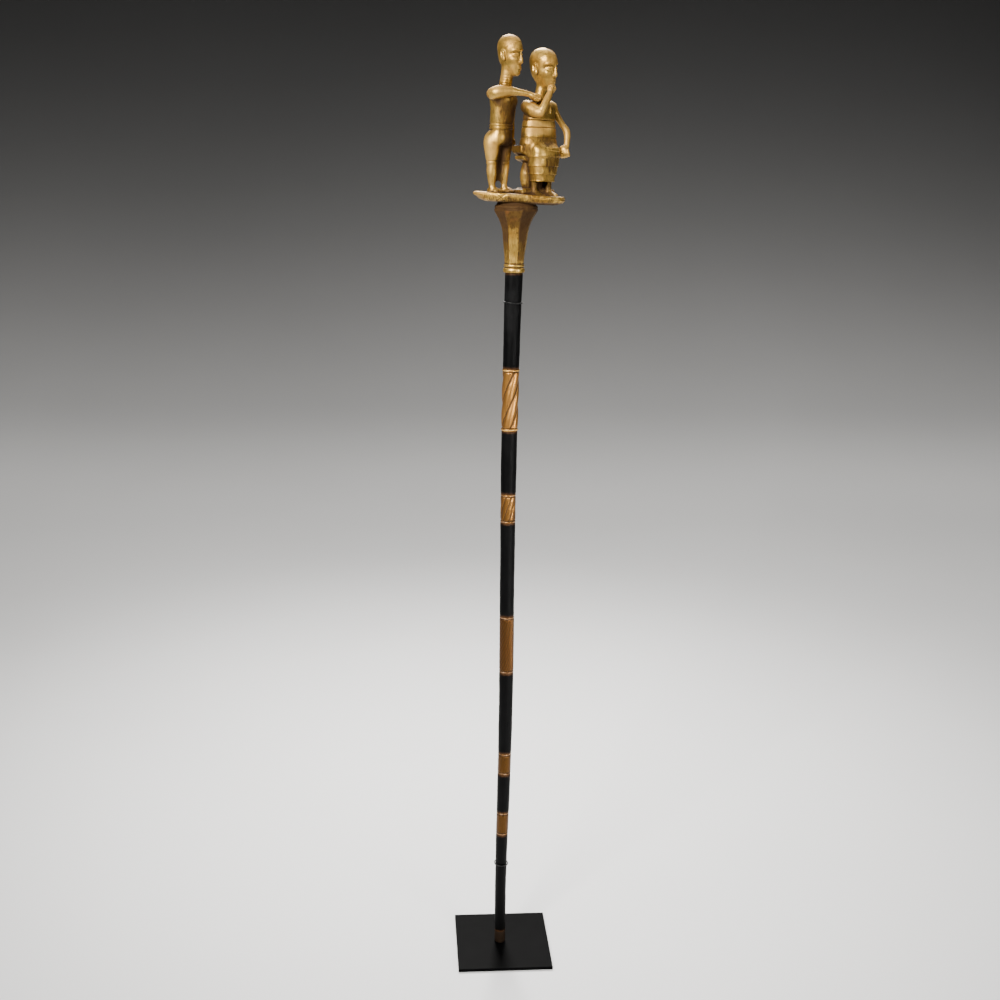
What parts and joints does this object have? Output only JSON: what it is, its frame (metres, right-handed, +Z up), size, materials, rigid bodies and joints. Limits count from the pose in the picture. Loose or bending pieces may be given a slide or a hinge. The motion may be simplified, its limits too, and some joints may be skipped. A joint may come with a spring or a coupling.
{
  "type": "linguist staff",
  "caption": "Carved and gilded ceremonial staff: two figures over a flared capital on a black pole with carved bands, upright on a square plate.",
  "frame": {"origin": "middle of the plate's underside, where the stand rests", "axes": "+Z up along the pole, the front faces -Y, +X to the right seen from the front"},
  "size_m": [0.178, 0.178, 1.6668],
  "materials": {
    "gilt_wood": "gold leaf and gold paint over carved wood, worn to red-brown on raised places",
    "black_paint": "satin black paint over turned wood, with gilded carved bands",
    "black_wire": "dark iron wire",
    "blackened_steel": "satin black"
  },
  "bodies": {
    "root": {"finial": "gilt_wood", "shaft": "black_paint", "upper_wire_ring": "black_wire", "lower_wire_ring": "black_wire", "stand_plate": "blackened_steel"}
  },
  "joints": []
}
